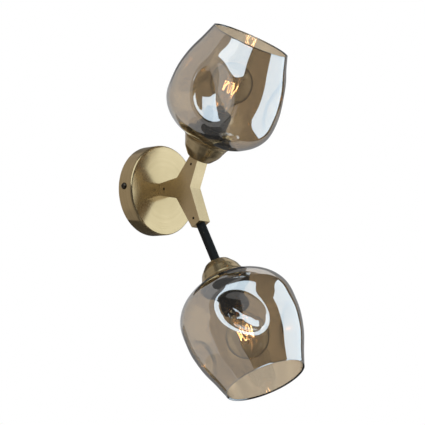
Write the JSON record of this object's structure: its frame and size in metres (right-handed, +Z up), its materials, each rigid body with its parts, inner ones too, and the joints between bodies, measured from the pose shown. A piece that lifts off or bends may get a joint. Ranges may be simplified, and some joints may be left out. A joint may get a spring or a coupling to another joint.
{
  "type": "two-lamp wall sconce",
  "caption": "Wall light with a round canopy, a three-way arm bracket and two open dented glass shades on brass cups",
  "frame": {"origin": "middle of the wall-screw pattern on the wall's face", "axes": "X along the wall, -Y out of the wall into the room, Z up"},
  "size_m": [0.1232, 0.2125, 0.3976],
  "materials": {
    "canopy_brass": "brushed antique finish",
    "bracket_brass": "fine brushed antique finish",
    "cup_brass": "spun, dark antique finish",
    "zinc_steel": "bright zinc plate",
    "dark_screw": "blackened",
    "black_rod": "matt black powder coat",
    "holder_black": "moulded, semi-gloss",
    "socket_ceramic": "unglazed",
    "contact_brass": "bright",
    "block_plastic": "moulded",
    "lead_sheath": "soft insulation",
    "bulb_insulator": "fired black glass",
    "bulb_nickel": "nickel plate",
    "amber_glass": "smoky amber, mirror-like",
    "bulb_glass": "clear",
    "filament_glow": "glowing wire"
  },
  "bodies": {
    "canopy_body": {"wall_bracket": "zinc_steel", "canopy": "canopy_brass", "canopy_screws": "dark_screw", "canopy_tube": "zinc_steel", "canopy_nut": "zinc_steel", "canopy_washer": "zinc_steel", "terminal_block": "block_plastic", "terminal_screws": "contact_brass", "block_fixing_screw": "zinc_steel", "earth_screw": "contact_brass", "canopy_leads": "lead_sheath"},
    "arm_body": {"arm_bracket": "bracket_brass", "grub_screws": "dark_screw", "bracket_leads": "lead_sheath"},
    "upper_lamp": {"upper_tube": "zinc_steel", "upper_cup": "cup_brass", "upper_cup_nut": "zinc_steel", "upper_holder_base": "holder_black", "upper_holder_skirt": "holder_black", "upper_holder_core": "socket_ceramic", "upper_screw_sleeve": "contact_brass", "upper_contact": "contact_brass", "upper_terminals": "contact_brass", "upper_ring": "holder_black", "upper_shade": "amber_glass", "upper_leads": "lead_sheath"},
    "upper_bulb_foot": {"upper_bulb_insulator": "bulb_insulator", "upper_bulb_tip": "bulb_nickel"},
    "upper_bulb": {"upper_bulb_glass": "bulb_glass", "upper_bulb_cap": "bulb_nickel", "upper_bulb_stem": "bulb_glass", "upper_filament": "filament_glow", "upper_supports": "zinc_steel"},
    "lower_lamp": {"lower_rod": "black_rod", "lower_cup": "cup_brass", "lower_cup_nut": "zinc_steel", "lower_holder_base": "holder_black", "lower_holder_skirt": "holder_black", "lower_holder_core": "socket_ceramic", "lower_screw_sleeve": "contact_brass", "lower_contact": "contact_brass", "lower_terminals": "contact_brass", "lower_ring": "holder_black", "lower_shade": "amber_glass", "lower_leads": "lead_sheath"},
    "lower_bulb_foot": {"lower_bulb_insulator": "bulb_insulator", "lower_bulb_tip": "bulb_nickel"},
    "lower_bulb": {"lower_bulb_glass": "bulb_glass", "lower_bulb_cap": "bulb_nickel", "lower_bulb_stem": "bulb_glass", "lower_filament": "filament_glow", "lower_supports": "zinc_steel"}
  },
  "joints": [
    {"name": "bracket_swivel", "type": "hinge", "parent": "canopy_body", "child": "arm_body", "pos_m": [0, 0, 0], "axis": [0, -1, 0], "range_deg": [-170, 170]},
    {"name": "upper_lamp_turn", "type": "hinge", "parent": "arm_body", "child": "upper_lamp", "pos_m": [0, -0.054, 0], "axis": [0, -0.515, 0.8572], "range_deg": [-170, 170]},
    {"name": "upper_bulb_travel", "type": "slide", "parent": "upper_lamp", "child": "upper_bulb_foot", "axis": [0, -0.515, 0.8572], "range_m": [0, 0.0085]},
    {"name": "upper_bulb_turn", "type": "hinge", "parent": "upper_bulb_foot", "child": "upper_bulb", "pos_m": [0, -0.054, 0], "axis": [0, -0.515, 0.8572], "range_deg": [0, 1080]},
    {"name": "lower_lamp_turn", "type": "hinge", "parent": "arm_body", "child": "lower_lamp", "pos_m": [0, -0.054, 0], "axis": [0, -0.515, -0.8572], "range_deg": [-170, 170]},
    {"name": "lower_bulb_travel", "type": "slide", "parent": "lower_lamp", "child": "lower_bulb_foot", "axis": [0, -0.515, -0.8572], "range_m": [0, 0.0085]},
    {"name": "lower_bulb_turn", "type": "hinge", "parent": "lower_bulb_foot", "child": "lower_bulb", "pos_m": [0, -0.054, 0], "axis": [0, -0.515, -0.8572], "range_deg": [0, 1080]}
  ],
  "couplings": [
    {"joint": "upper_bulb_travel", "follows": "upper_bulb_turn", "m_per_rad": 0.00044882},
    {"joint": "lower_bulb_travel", "follows": "lower_bulb_turn", "m_per_rad": 0.00044882}
  ]
}
